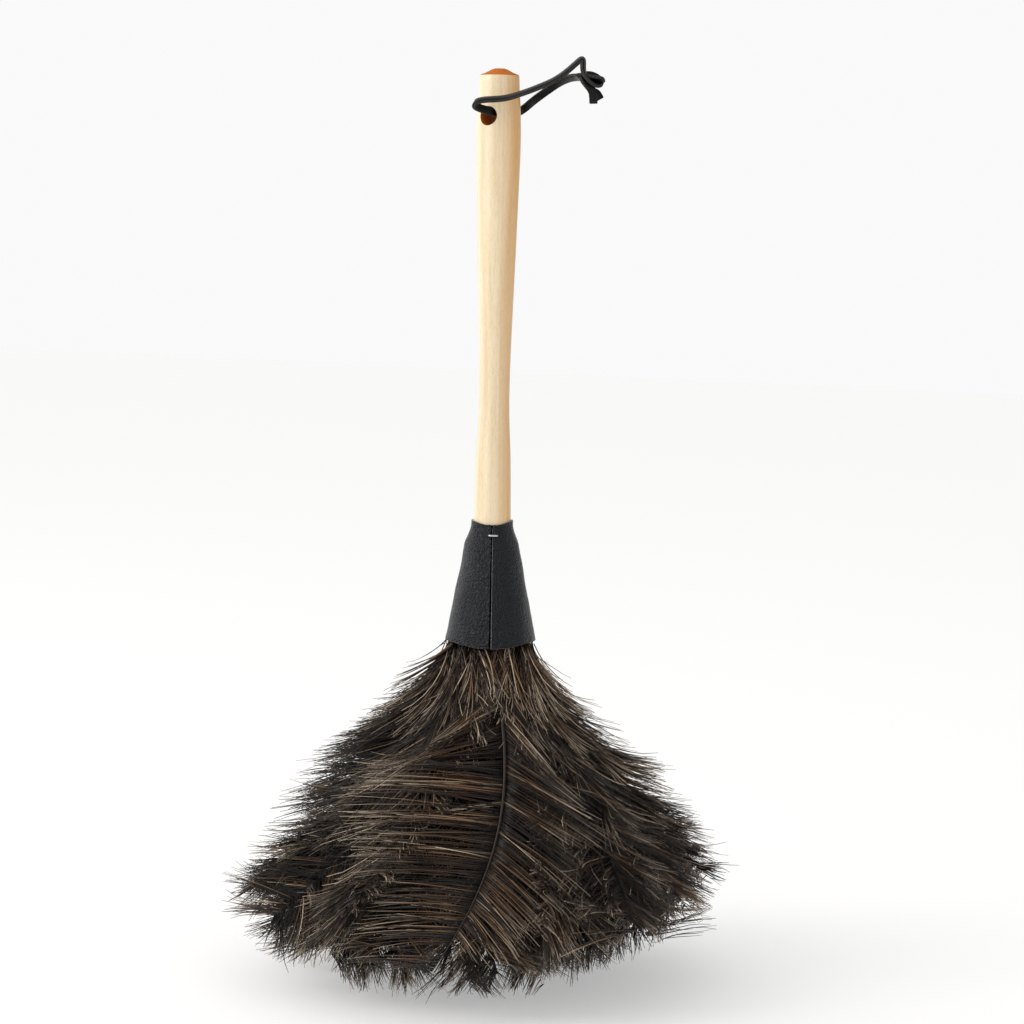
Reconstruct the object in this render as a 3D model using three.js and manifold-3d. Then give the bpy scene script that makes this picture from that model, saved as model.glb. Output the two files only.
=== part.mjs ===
// Ostrich feather duster: a turned wooden handle with a hanging lace through its top, and four
// tiers of plumes wired round its foot under a wrapped leather collar.
//
// Millimetres, +Z up the handle. The origin is on the surface that the feather tips stand on,
// under the handle's axis. The hanging hole is drilled along Y. The lace hangs out towards +X.
import * as THREE from 'three';
import { mergeVertices } from 'three/addons/utils/BufferGeometryUtils.js';
import Module from 'manifold-3d';

const wasm = await Module();
wasm.setup();

const UP = new THREE.Vector3(0, 0, 1);
const fit = 0.3; // clearance between pieces that touch

// Lengths up the handle's axis.
const hang = 188; // feathers below the collar's lower edge
const collarLength = 66;
const gripLength = 246; // handle above the collar
const collarFoot = hang;
const collarHead = collarFoot + collarLength;
const crownTop = collarHead + gripLength;

// Turned handle: radii, with heights measured from its crown or from the collar's head.
const crownRise = 3.4; // low domed end
const crownRadius = 10.2;
const rimRound = 1.1;
const bellyRadius = 12.1;
const bellyDrop = 35;
const gripRadius = 10.9;
const gripDrop = 84;
const waistRadius = 8.3;
const waistRise = 67;
const swellRadius = 9.6;
const swellRise = 33;
const neckRadius = 10.2;
const neckBelowHead = 12; // full neck inside the collar, down to the shoulder
const spigotRadius = 7;
const spigotChamfer = 1.5;
const shoulder = collarHead - neckBelowHead;

// Hanging hole and its lace.
const holeDiameter = 10.5;
const holeDrop = 26;
const holeHeight = crownTop - holeDrop;
const laceDiameter = 3.4;

// Quills, bound in rings round the spigot, each ring with its own wire.
const quillDiameter = 2.4;
const quillRadius = quillDiameter / 2;
const ringPitch = quillDiameter + fit;
const ringStep = 12.6; // each ring starts this much lower than the ring inside it
const wireDiameter = 0.9;
const wireTurns = 3;
const wireBelowTop = 4;

// Leather collar, wrapped to a cone with its two edges meeting at the seam.
const leather = 1.2;
const bulgeDrop = 15; // where the neck of the collar has opened over the quills
const bulgeRoom = 1.6;
const footRoom = 6; // the plumes fan out this much inside the collar's mouth
const edgeDip = 2; // both edges dip towards the seam
const seamAngle = THREE.MathUtils.degToRad(-59);
const seamGap = 0.5;
const notchWidth = 3;
const notchDepth = 6;

// Staple that closes the seam: its crown lies on the leather and its legs reach the wood.
const stapleWire = 0.7;
const stapleCrown = 6;
const stapleBite = 4.5; // legs in the wood
const stapleDrop = 8.5;

// Plume tiers, from the core outwards. spread is how far a plume has come away from its ring at
// the collar's mouth. reach is the way that it leaves the mouth, and droop the way that it comes
// to its tip, each out and down.
const plumeThickness = 1.2;
const plumeGap = 0.6; // between neighbours in a tier
const mouthDrop = 4; // below the collar's lower edge, where the plumes start to open
const tiers = [
  { name: 'core_plume', count: 10, spread: 0.5, tip: 38, tipHeight: 14, reach: [3, 54],
    droop: [8, 46], turn: 0.24, twist: -0.3, lift: [0, 9, 4, 12, 2], colour: '#6b5a4a' },
  { name: 'lower_plume', count: 12, spread: 1.8, tip: 74, tipHeight: 0, reach: [4, 50],
    droop: [0, 54], turn: 0, twist: 0.28, lift: [0, 6, 0, 10, 0, 4], colour: '#33241b' },
  { name: 'middle_plume', count: 12, spread: 3.1, tip: 107, tipHeight: 20, reach: [5, 46],
    droop: [33, 42], turn: 0.13, twist: 0.22, lift: [0, 12, 5, 14, 3, 9], colour: '#41301f' },
  { name: 'outer_plume', count: 14, spread: 4.6, tip: 130, tipHeight: 40, reach: [9, 42],
    droop: [42, 36], turn: 0.1, twist: -0.3, lift: [0, 14, 6, 18, 4, 12, 8], colour: '#564636' },
];
const shortening = 0.35; // a plume whose tip is lifted reaches this much less far for each mm

const ringRadius = (ring) => spigotRadius + fit + quillRadius + ring * ringPitch;
const ringTop = (ring) => shoulder - 1 - ring * ringStep;
const wireFoot = (ring) => ringTop(ring) - wireBelowTop - wireTurns * wireDiameter;
const lastRing = tiers.length - 1;

const skins = {
  beech: new THREE.MeshStandardMaterial({ color: '#e6c690', roughness: 0.5, metalness: 0 }),
  leather: new THREE.MeshStandardMaterial({ color: '#26272b', roughness: 0.45, metalness: 0 }),
  steel: new THREE.MeshStandardMaterial({ color: '#b9bcc0', roughness: 0.3, metalness: 1 }),
  lace: new THREE.MeshStandardMaterial({ color: '#2a2a2e', roughness: 0.55, metalness: 0 }),
};

// Welds a geometry's corners and drops the slivers that lie on a pole.
function weld(geometry) {
  const bare = geometry.clone();
  bare.deleteAttribute('normal');
  bare.deleteAttribute('uv');
  const welded = mergeVertices(bare, 1e-4);
  const kept = [];
  const index = welded.index.array;
  for (let i = 0; i < index.length; i += 3) {
    const [a, b, c] = index.slice(i, i + 3);
    if (a !== b && b !== c && c !== a) kept.push(a, b, c);
  }
  welded.setIndex(kept);
  return welded;
}

function toSolid(geometry) {
  const welded = weld(geometry);
  return new wasm.Manifold(new wasm.Mesh({
    numProp: 3,
    vertProperties: new Float32Array(welded.attributes.position.array),
    triVerts: new Uint32Array(welded.index.array),
  }));
}

function toGeometry(solid) {
  const mesh = solid.getMesh();
  const geometry = new THREE.BufferGeometry();
  geometry.setAttribute('position', new THREE.BufferAttribute(mesh.vertProperties, 3));
  geometry.setIndex(new THREE.BufferAttribute(mesh.triVerts, 1));
  geometry.computeVertexNormals();
  return geometry;
}

// A LatheGeometry turned so that its axis is Z. The outline runs from the bottom up.
function turned(outline, sides) {
  const points = outline.map(([radius, height]) => new THREE.Vector2(radius, height));
  return new THREE.LatheGeometry(points, sides).rotateX(Math.PI / 2);
}

function rodAlong(direction, middle, diameter, length, sides) {
  const rod = new THREE.CylinderGeometry(diameter / 2, diameter / 2, length, sides);
  rod.applyQuaternion(new THREE.Quaternion().setFromUnitVectors(
    new THREE.Vector3(0, 1, 0), direction.clone().normalize()));
  return rod.translate(middle.x, middle.y, middle.z);
}

function tube(points, diameter, sides, steps) {
  const section = new THREE.Shape();
  for (let side = 0; side < sides; side += 1) {
    const angle = (side * 2 * Math.PI) / sides;
    const x = (diameter / 2) * Math.cos(angle);
    const y = (diameter / 2) * Math.sin(angle);
    if (side === 0) section.moveTo(x, y);
    else section.lineTo(x, y);
  }
  section.closePath();
  const path = new THREE.CatmullRomCurve3(points.map((p) => new THREE.Vector3(...p)));
  return new THREE.ExtrudeGeometry(section, { steps, extrudePath: path, curveSegments: 1 });
}

const smooth = (from, to, x) => THREE.MathUtils.smoothstep(x, from, to);

// Outline of the turned handle, from the spigot's foot to the crown.
function handleOutline() {
  const sides = new THREE.SplineCurve([
    [neckRadius, collarHead],
    [swellRadius, collarHead + swellRise],
    [waistRadius, collarHead + waistRise],
    [gripRadius, crownTop - gripDrop],
    [bellyRadius, crownTop - bellyDrop],
    [crownRadius + rimRound / 2, crownTop - crownRise - rimRound],
  ].map((p) => new THREE.Vector2(...p)));
  const crown = new THREE.QuadraticBezierCurve(
    new THREE.Vector2(crownRadius, crownTop - crownRise),
    new THREE.Vector2(crownRadius * 0.4, crownTop),
    new THREE.Vector2(0, crownTop),
  );
  return [
    [0, collarFoot],
    [spigotRadius - spigotChamfer, collarFoot],
    [spigotRadius, collarFoot + spigotChamfer],
    [spigotRadius, shoulder],
    [neckRadius, shoulder],
    ...sides.getPoints(17).map((p) => [p.x, p.y]),
    ...crown.getPoints(5).map((p) => [p.x, p.y]),
  ];
}

const seamWay = new THREE.Vector3(Math.cos(seamAngle), Math.sin(seamAngle), 0);
const seamSide = new THREE.Vector3().crossVectors(UP, seamWay);
const stapleHeight = collarHead - stapleDrop;
const stapleLegTop = collarOuter(stapleHeight) + fit + stapleWire / 2;
const stapleLegFoot = neckRadius - stapleBite;

// Clear holes for the staple's legs, through the leather and into the wood.
function stapleHoles() {
  const length = stapleLegTop - stapleLegFoot + 2 * fit;
  return [-1, 1].map((side) => {
    const middle = seamWay.clone().multiplyScalar((stapleLegTop + stapleLegFoot) / 2)
      .addScaledVector(seamSide, (side * (stapleCrown - stapleWire)) / 2)
      .addScaledVector(UP, stapleHeight);
    return toSolid(rodAlong(seamWay, middle, stapleWire + 2 * fit, length, 8));
  });
}

function handle() {
  const hole = new THREE.CylinderGeometry(holeDiameter / 2, holeDiameter / 2, 4 * bellyRadius, 32);
  let wood = toSolid(turned(handleOutline(), 36));
  wood = wood.subtract(toSolid(hole.translate(0, 0, holeHeight)));
  for (const leg of stapleHoles()) wood = wood.subtract(leg);
  return toGeometry(wood);
}

// Outer radius of the collar at a height.
function collarOuter(height) {
  const neck = neckRadius + fit + leather;
  const bulge = ringRadius(1) + quillRadius + bulgeRoom + leather;
  const foot = ringRadius(lastRing) + quillRadius + footRoom + leather;
  const opened = collarHead - bulgeDrop;
  if (height > opened) {
    return neck + (bulge - neck) * smooth(0, 1, (collarHead - 2 - height) / (bulgeDrop - 2));
  }
  return bulge + (foot - bulge) * ((opened - height) / (opened - collarFoot));
}

// The sleeve as a closed ring of leather, cut through at the seam.
function collar() {
  const heights = [collarFoot];
  const opened = collarHead - bulgeDrop;
  heights.push(collarFoot + (opened - collarFoot) / 2, opened);
  heights.push(collarHead - 10, collarHead - 6, collarHead - 2, collarHead);
  const outside = heights.map((height) => [collarOuter(height), height]);
  const inside = heights.map((height) => [collarOuter(height) - leather, height]).reverse();
  const sleeve = turned([...outside, ...inside, outside[0]], 40);
  const spots = sleeve.attributes.position;
  for (let i = 0; i < spots.count; i += 1) {
    const toSeam = Math.cos(Math.atan2(spots.getY(i), spots.getX(i)) - seamAngle);
    spots.setZ(i, spots.getZ(i) - edgeDip * smooth(-0.2, 1, toSeam));
  }
  const reach = 2 * collarOuter(collarFoot);
  const slit = new THREE.BoxGeometry(reach, seamGap, 2 * collarLength);
  slit.translate(reach / 2, 0, collarHead - collarLength / 2).rotateZ(seamAngle);
  const corner = new THREE.Shape();
  corner.moveTo(-notchWidth / 2, edgeDip);
  corner.lineTo(0, -notchDepth);
  corner.lineTo(notchWidth / 2, edgeDip);
  corner.closePath();
  const notch = new THREE.ExtrudeGeometry(corner, { depth: reach, bevelEnabled: false });
  notch.rotateX(Math.PI / 2).rotateZ(Math.PI / 2).translate(0, 0, collarHead).rotateZ(seamAngle);
  let hide = toSolid(sleeve).subtract(toSolid(slit)).subtract(toSolid(notch));
  for (const leg of stapleHoles()) hide = hide.subtract(leg);
  return toGeometry(hide);
}

function staple() {
  const half = (stapleCrown - stapleWire) / 2;
  const at = (out, across) => seamWay.clone().multiplyScalar(out)
    .addScaledVector(seamSide, across).addScaledVector(UP, stapleHeight).toArray();
  const bend = stapleWire;
  return tube([
    at(stapleLegFoot, -half), at(stapleLegTop - 2 * bend, -half), at(stapleLegTop - bend, -half),
    at(stapleLegTop, -half + bend), at(stapleLegTop, 0), at(stapleLegTop, half - bend),
    at(stapleLegTop - bend, half), at(stapleLegTop - 2 * bend, half), at(stapleLegFoot, half),
  ], stapleWire, 6, 26);
}

// Tight turns of wire round one ring of quills, as one scalloped band.
function bindingWire(ring) {
  const inner = ringRadius(ring) + quillRadius + fit;
  const outline = [[inner, wireFoot(ring)]];
  for (let turn = 0; turn < wireTurns; turn += 1) {
    const foot = wireFoot(ring) + turn * wireDiameter;
    outline.push([inner + wireDiameter * 0.6, foot]);
    outline.push([inner + wireDiameter, foot + wireDiameter / 2]);
  }
  outline.push([inner + wireDiameter * 0.6, wireFoot(ring) + wireTurns * wireDiameter]);
  outline.push([inner, wireFoot(ring) + wireTurns * wireDiameter]);
  outline.push(outline[0]);
  return turned(outline, 20);
}

// Places along a plume, from its quill's end to its tip: radius, height, and the way outwards.
function plumeStations(tier, ring, lift) {
  const start = new THREE.Vector2(ringRadius(ring) + tier.spread, collarFoot - mouthDrop);
  const tip = new THREE.Vector2(tier.tip - shortening * lift, tier.tipHeight + lift);
  const vane = new THREE.CubicBezierCurve(
    start,
    new THREE.Vector2(start.x + tier.reach[0], start.y - tier.reach[1]),
    new THREE.Vector2(tip.x - tier.droop[0], tip.y + tier.droop[1]),
    tip,
  );
  const down = new THREE.Vector2(0, -1);
  const quill = [ringTop(ring), wireFoot(lastRing) - fit]
    .map((height) => ({ at: new THREE.Vector2(ringRadius(ring), height), way: down, along: 0 }));
  const steps = 8;
  for (let step = 0; step <= steps; step += 1) {
    const along = step / steps;
    quill.push({ at: vane.getPoint(along), way: vane.getTangent(along), along });
  }
  return quill;
}

// One plume: a six-sided rod, bent along its stations and spread into a thin vane. Its width
// follows the circle round the handle, and the tier twists with height alone, so each plume
// stays inside its own share of the tier.
function plume(tier, ring, copy) {
  const lift = tier.lift[copy % tier.lift.length];
  const stations = plumeStations(tier, ring, lift);
  const share = Math.PI / tier.count;
  const mouth = collarFoot - mouthDrop;
  const rod = new THREE.CylinderGeometry(1, 1, 1, 6, stations.length - 1, false, Math.PI / 6);
  const spots = rod.attributes.position;
  for (let i = 0; i < spots.count; i += 1) {
    const place = stations[Math.round((0.5 - spots.getY(i)) * (stations.length - 1))];
    const open = smooth(0, 0.3, place.along);
    const widest = place.at.x * share - plumeGap / 2;
    const taper = 1 - 0.65 * smooth(0.7, 1, place.along);
    const halfWidth = quillRadius + (Math.max(widest, quillRadius) * taper - quillRadius) * open;
    const halfDepth = quillRadius + (plumeThickness / 2 - quillRadius) * open;
    const depth = spots.getZ(i) * halfDepth;
    const radius = place.at.x - place.way.y * depth;
    const fallen = Math.max(0, mouth - place.at.y) / (mouth - tier.tipHeight);
    const turn = tier.turn + 2 * share * copy + tier.twist * (fallen ** 2 - 1);
    const angle = turn + (spots.getX(i) * halfWidth) / place.at.x;
    spots.setXYZ(i, radius * Math.cos(angle), radius * Math.sin(angle),
      place.at.y + place.way.x * depth);
  }
  return rod;
}

// The lace's route from the knot, over the front of the handle, through the hole and back to
// the knot, measured from the middle of the hole.
const laceRoute = [
  [55.8, -2.0, 24.6], [56.4, -2.1, 27.0], [55.7, -2.4, 29.4], [53.3, -3.0, 30.3],
  [49.6, -4.6, 27.0], [44.0, -7.0, 21.8], [38.8, -9.3, 18.2], [34.0, -11.5, 15.8],
  [28.6, -13.8, 13.4], [22.0, -15.0, 11.2], [14.8, -16.0, 9.2], [8.6, -18.6, 8.4],
  [3.8, -21.6, 8.0], [-0.4, -23.4, 6.8], [-2.0, -21.4, 4.9], [-0.6, -17.4, 3.5],
  [1.4, -13.4, 2.6], [2.1, -8.0, 2.1], [2.1, 0.0, 2.1], [2.1, 8.0, 2.1],
  [1.7, 13.4, 2.4], [1.4, 17.4, 3.0], [2.6, 20.2, 4.4], [6.0, 20.0, 6.6],
  [11.6, 17.4, 9.4], [18.0, 15.4, 12.6], [24.7, 14.7, 16.4], [32.3, 12.0, 19.4],
  [40.8, 7.9, 20.9], [46.6, 4.9, 20.8], [49.6, 3.3, 20.3],
];
const knotMiddle = [58.4, 0, 18.6];
const knotHalf = [7.4, 4.6, 5.4];
const laceTails = [
  [[58.0, -1.6, 16.0], [58.6, -1.8, 10.5], [59.8, -1.9, 5.6]],
  [[60.0, 1.2, 16.0], [61.2, 1.4, 11.5], [62.8, 1.5, 7.8]],
];

function lace() {
  return tube(laceRoute, laceDiameter, 8, 64);
}

// The overhand knot as one lump, with the lace's two short ends.
function knot() {
  const ball = new THREE.IcosahedronGeometry(1, 1).scale(...knotHalf).translate(...knotMiddle);
  let lump = toSolid(ball);
  for (const tail of laceTails) lump = lump.add(toSolid(tube(tail, laceDiameter * 0.85, 6, 3)));
  return toGeometry(lump);
}

function part(name, geometry, skin) {
  const mesh = new THREE.Mesh(geometry, skin);
  mesh.name = name;
  return mesh;
}

const duster = new THREE.Group();
duster.add(part('handle', handle(), skins.beech));
duster.add(part('leather_collar', collar(), skins.leather));
duster.add(part('collar_staple', staple(), skins.steel));

const head = new THREE.Group();
tiers.forEach((tier, ring) => {
  const barbs = new THREE.MeshStandardMaterial({ color: tier.colour, roughness: 0.9 });
  head.add(part(`binding_wire_${ring + 1}`, bindingWire(ring), skins.steel));
  for (let copy = 0; copy < tier.count; copy += 1) {
    head.add(part(`${tier.name}_${copy + 1}`, plume(tier, ring, copy), barbs));
  }
});
duster.add(head);

const strap = new THREE.Group();
strap.position.set(0, 0, holeHeight);
strap.add(part('hanging_lace', lace(), skins.lace));
strap.add(part('lace_knot', knot(), skins.lace));
duster.add(strap);

export default duster;
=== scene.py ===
import math

import bpy
import numpy as np
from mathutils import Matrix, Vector


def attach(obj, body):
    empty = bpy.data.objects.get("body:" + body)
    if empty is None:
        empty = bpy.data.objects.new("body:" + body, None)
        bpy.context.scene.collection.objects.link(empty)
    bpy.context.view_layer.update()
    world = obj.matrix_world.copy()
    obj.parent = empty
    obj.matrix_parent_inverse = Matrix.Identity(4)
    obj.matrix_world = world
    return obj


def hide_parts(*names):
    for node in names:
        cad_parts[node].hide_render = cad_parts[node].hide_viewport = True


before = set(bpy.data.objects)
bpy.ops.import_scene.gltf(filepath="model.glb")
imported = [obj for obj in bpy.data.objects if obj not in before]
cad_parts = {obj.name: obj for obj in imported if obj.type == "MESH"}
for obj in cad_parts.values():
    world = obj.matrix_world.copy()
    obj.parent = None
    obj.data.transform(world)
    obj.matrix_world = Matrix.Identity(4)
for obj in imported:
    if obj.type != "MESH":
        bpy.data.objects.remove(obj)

# A feather duster: a turned beech handle with a leather lace through its top, and four tiers of
# ostrich plumes wired round its foot under a wrapped leather collar. Metres, +Z up the handle.

MM = 0.001
UP = np.array([0.0, 0.0, 1.0])


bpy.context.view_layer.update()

# Heights up the handle, in mm, as the frame has them.
COLLAR_FOOT = 188
COLLAR_HEAD = 254
CROWN_TOP = 500
HOLE_HEIGHT = 474
SEAM_ANGLE = math.radians(-59)
SEAM_WAY = Vector((math.cos(SEAM_ANGLE), math.sin(SEAM_ANGLE), 0))
SEAM_SIDE = Vector((-SEAM_WAY.y, SEAM_WAY.x, 0))

# The front is the side that the seam is on. These are the ways to its right and out of it.
FRONT_TURN = math.radians(31)
TO_RIGHT = (math.cos(FRONT_TURN), math.sin(FRONT_TURN), 0.0)
TO_FRONT = (math.sin(FRONT_TURN), -math.cos(FRONT_TURN), 0.0)


# ---------------------------------------------------------------- camera

# Metres and radians. The camera takes in VIEW_WIDTH at the place that it faces.
CAMERA_DISTANCE = 1.6
CAMERA_TILT = math.radians(5.5)
CAMERA_ROLL = math.radians(1.0)
TARGET_ASIDE = 0.0108
TARGET_HEIGHT = 0.2586
VIEW_WIDTH = 0.5628
FILM_WIDTH = 36


def look(thing, eye, target, roll):
    """Turns a camera or a light at eye to face target, with a roll about its own line of sight."""
    way = Vector(target) - Vector(eye)
    turn = way.to_track_quat("-Z", "Y").to_matrix().to_4x4()
    thing.matrix_world = turn
    thing.rotation_euler.rotate_axis("Z", roll)
    thing.location = eye


def make_camera():
    """A long lens, a little above the object's middle and looking slightly down at it."""
    rise = math.tan(CAMERA_TILT)
    target = Vector((TARGET_ASIDE * TO_RIGHT[0], TARGET_ASIDE * TO_RIGHT[1], TARGET_HEIGHT))
    back = Vector((TO_FRONT[0], TO_FRONT[1], rise))
    camera = bpy.data.objects.new("camera", bpy.data.cameras.new("camera"))
    bpy.context.scene.collection.objects.link(camera)
    camera.data.sensor_width = FILM_WIDTH
    camera.data.lens = FILM_WIDTH * math.hypot(CAMERA_DISTANCE, CAMERA_DISTANCE * rise) / VIEW_WIDTH
    look(camera, target + CAMERA_DISTANCE * back, target, CAMERA_ROLL)
    bpy.context.scene.camera = camera


# ---------------------------------------------------------------- small tools

def linear(colour):
    """An sRGB hex colour as linear RGBA."""
    parts = [int(colour[i:i + 2], 16) / 255 for i in (1, 3, 5)]
    return [c / 12.92 if c <= 0.04045 else ((c + 0.055) / 1.055) ** 2.4 for c in parts] + [1]


def add(tree, kind, inputs, **settings):
    """Adds a node with its settings. inputs gives each socket a value or the output it takes."""
    node = tree.nodes.new("ShaderNode" + kind)
    for name, value in settings.items():
        setattr(node, name, value)
    for name, value in inputs.items():
        if isinstance(value, bpy.types.NodeSocket):
            tree.links.new(value, node.inputs[name])
        else:
            node.inputs[name].default_value = value
    return node


def new_material(name, **sockets):
    """A material with a Principled shader whose constant sockets are given by name."""
    material = bpy.data.materials.new(name)
    material.use_nodes = True
    shader = material.node_tree.nodes["Principled BSDF"]
    for socket, value in sockets.items():
        shader.inputs[socket.replace("_", " ")].default_value = value
    return material, material.node_tree, shader


def ramp(tree, factor, stops, **settings):
    """A colour ramp through (place, hex colour) stops."""
    node = add(tree, "ValToRGB", {"Fac": factor}, **settings)
    elements = node.color_ramp.elements
    while len(elements) < len(stops):
        elements.new(0.5)
    for element, (place, colour) in zip(elements, stops):
        element.position = place
        element.color = linear(colour)
    return node.outputs["Color"]


def scaled(tree, x, y, z):
    """Object coordinates times the given number of pattern units a metre along each axis."""
    place = add(tree, "TexCoord", {})
    return add(tree, "Mapping", {"Vector": place.outputs["Object"], "Scale": (x, y, z)}
               ).outputs["Vector"]


def bump(tree, shader, height, distance, strength=1.0):
    """Raises the surface by a height pattern, distance metres at full height."""
    node = add(tree, "Bump", {"Height": height, "Distance": distance, "Strength": strength})
    tree.links.new(node.outputs["Normal"], shader.inputs["Normal"])


def blended(tree, factor, first, second, kind="MIX"):
    """Two colours mixed by a factor. The node's colour sockets are told by their numbers."""
    return add(tree, "Mix", {0: factor, 6: first, 7: second}, data_type="RGBA",
               blend_type=kind).outputs[2]


def deselect():
    """Leaves edit mode and selects nothing."""
    if bpy.context.object and bpy.context.object.mode != "OBJECT":
        bpy.ops.object.mode_set(mode="OBJECT")
    bpy.ops.object.select_all(action="DESELECT")


def take(piece):
    """Makes one object the selected and active one."""
    deselect()
    piece.select_set(True)
    bpy.context.view_layer.objects.active = piece


def pick(piece, wanted, domain="vertices"):
    """In edit mode, selects the vertices or polygons for which wanted(place) is true."""
    bpy.ops.mesh.select_mode(type="VERT" if domain == "vertices" else "FACE")
    bpy.ops.mesh.select_all(action="DESELECT")
    bpy.ops.object.mode_set(mode="OBJECT")
    for part in getattr(piece.data, domain):
        place = part.co if domain == "vertices" else part.center
        part.select = bool(wanted(place))
    bpy.ops.object.mode_set(mode="EDIT")


def apply_modifier(piece, kind, **settings):
    """Adds a modifier with its settings and applies it."""
    take(piece)
    modifier = piece.modifiers.new(kind.lower(), kind)
    for name, value in settings.items():
        setattr(modifier, name, value)
    bpy.ops.object.modifier_apply(modifier=modifier.name)


def settle(piece):
    """Puts a piece's place into its mesh, so that its object is at the origin and unturned."""
    take(piece)
    bpy.ops.object.transform_apply(location=True, rotation=True, scale=True)


def smooth(piece, degrees):
    """Shades a piece smooth, but for edges sharper than so many degrees."""
    take(piece)
    bpy.ops.object.shade_smooth_by_angle(angle=math.radians(degrees))


def turn_up(name, outline, sides, turn=0.0, fill="NGON"):
    """Extrudes a circle up through (radius, height) pairs in mm, as on a lathe."""
    deselect()
    radius, height = outline[0]
    bpy.ops.mesh.primitive_circle_add(vertices=sides, radius=radius * MM, fill_type=fill,
                                      location=(0, 0, height * MM), rotation=(0, 0, turn))
    piece = bpy.context.object
    piece.name = name
    settle(piece)
    bpy.ops.object.mode_set(mode="EDIT")
    bpy.ops.mesh.select_all(action="SELECT")
    for (old, low), (new, high) in zip(outline, outline[1:]):
        bpy.ops.mesh.extrude_region_move(
            TRANSFORM_OT_translate={"value": (0, 0, (high - low) * MM)})
        bpy.ops.transform.resize(value=(new / old, new / old, 1),
                                 center_override=(0, 0, high * MM))
    bpy.ops.mesh.select_all(action="SELECT")
    bpy.ops.mesh.normals_make_consistent(inside=False)
    bpy.ops.object.mode_set(mode="OBJECT")
    return piece


def cut(piece, cutter):
    """Takes the cutter's shape out of the piece."""
    apply_modifier(piece, "BOOLEAN", operation="DIFFERENCE", solver="EXACT", object=cutter)
    bpy.data.objects.remove(cutter)


def stand_for(piece, body, slot, *nodes):
    """The piece moves with a body and stands for CAD nodes. Its slot is not used."""
    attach(piece, body)
    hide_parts(*nodes)


def through(points, steps):
    """A smooth line through points, by a centripetal Catmull-Rom spline, steps to each span."""
    spots = np.array(points, float)
    spots = np.vstack([2 * spots[0] - spots[1], spots, 2 * spots[-1] - spots[-2]])
    line = []
    for a, b, c, d in zip(spots, spots[1:], spots[2:], spots[3:]):
        t0 = 0.0
        t1 = t0 + np.linalg.norm(b - a) ** 0.5
        t2 = t1 + np.linalg.norm(c - b) ** 0.5
        t3 = t2 + np.linalg.norm(d - c) ** 0.5
        for t in np.linspace(t1, t2, steps, endpoint=False):
            ab = (t1 - t) / (t1 - t0) * a + (t - t0) / (t1 - t0) * b
            bc = (t2 - t) / (t2 - t1) * b + (t - t1) / (t2 - t1) * c
            cd = (t3 - t) / (t3 - t2) * c + (t - t2) / (t3 - t2) * d
            left = (t2 - t) / (t2 - t0) * ab + (t - t0) / (t2 - t0) * bc
            right = (t3 - t) / (t3 - t1) * bc + (t - t1) / (t3 - t1) * cd
            line.append((t2 - t) / (t2 - t1) * left + (t - t1) / (t2 - t1) * right)
    return np.array(line + [spots[-2]])


def unit(vectors):
    """Vectors made one long."""
    return vectors / np.maximum(np.linalg.norm(vectors, axis=-1, keepdims=True), 1e-12)


def mesh_piece(name, points, faces, materials, indices=None):
    """A mesh object from arrays: points, and faces as a list of (count, corners) arrays."""
    mesh = bpy.data.meshes.new(name)
    mesh.vertices.add(len(points))
    mesh.vertices.foreach_set("co", np.asarray(points, np.float32).ravel())
    corners = np.concatenate([part.ravel() for part in faces])
    sizes = np.concatenate([np.full(len(part), part.shape[1]) for part in faces])
    mesh.loops.add(len(corners))
    mesh.loops.foreach_set("vertex_index", corners.astype(np.int32))
    mesh.polygons.add(len(sizes))
    mesh.polygons.foreach_set("loop_start", (np.cumsum(sizes) - sizes).astype(np.int32))
    mesh.polygons.foreach_set("use_smooth", np.ones(len(sizes), bool))
    for material in materials:
        mesh.materials.append(material)
    if indices is not None:
        mesh.polygons.foreach_set("material_index", indices.astype(np.int32))
    mesh.update(calc_edges=True)
    mesh.validate()
    piece = bpy.data.objects.new(name, mesh)
    bpy.context.scene.collection.objects.link(piece)
    return piece


def tubes(lines, across, over, first=0):
    """Closed tubes along lines. lines is tube x ring x 3, and across and over are the ring's
    corners, as tube x ring x side x 3 offsets. Returns points, side faces and end faces."""
    count, rings = lines.shape[:2]
    offsets = across + over
    sides = offsets.shape[2]
    points = (lines[:, :, None, :] + offsets).reshape(-1, 3)
    index = first + np.arange(count * rings * sides).reshape(count, rings, sides)
    low, high = index[:, :-1], index[:, 1:]
    walls = np.stack([low, np.roll(low, -1, 2), np.roll(high, -1, 2), high], -1).reshape(-1, 4)
    ends = np.concatenate([index[:, 0, ::-1], index[:, -1]])
    return points, walls, ends


# ---------------------------------------------------------------- hanging lace

# The lace's width, thickness and corner radius, in mm.
LACE_WIDE = 4.3
LACE_THICK = 2.3
LACE_CORNER = 0.55
# The sides of its section that were cut and not dressed.
CUT_SIDES = (11, 0, 5, 6)
# Where along a strand its tail starts to turn over, and the share of it that the turn takes.
TAIL_START = 0.86
TAIL_TURN = 0.1

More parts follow.
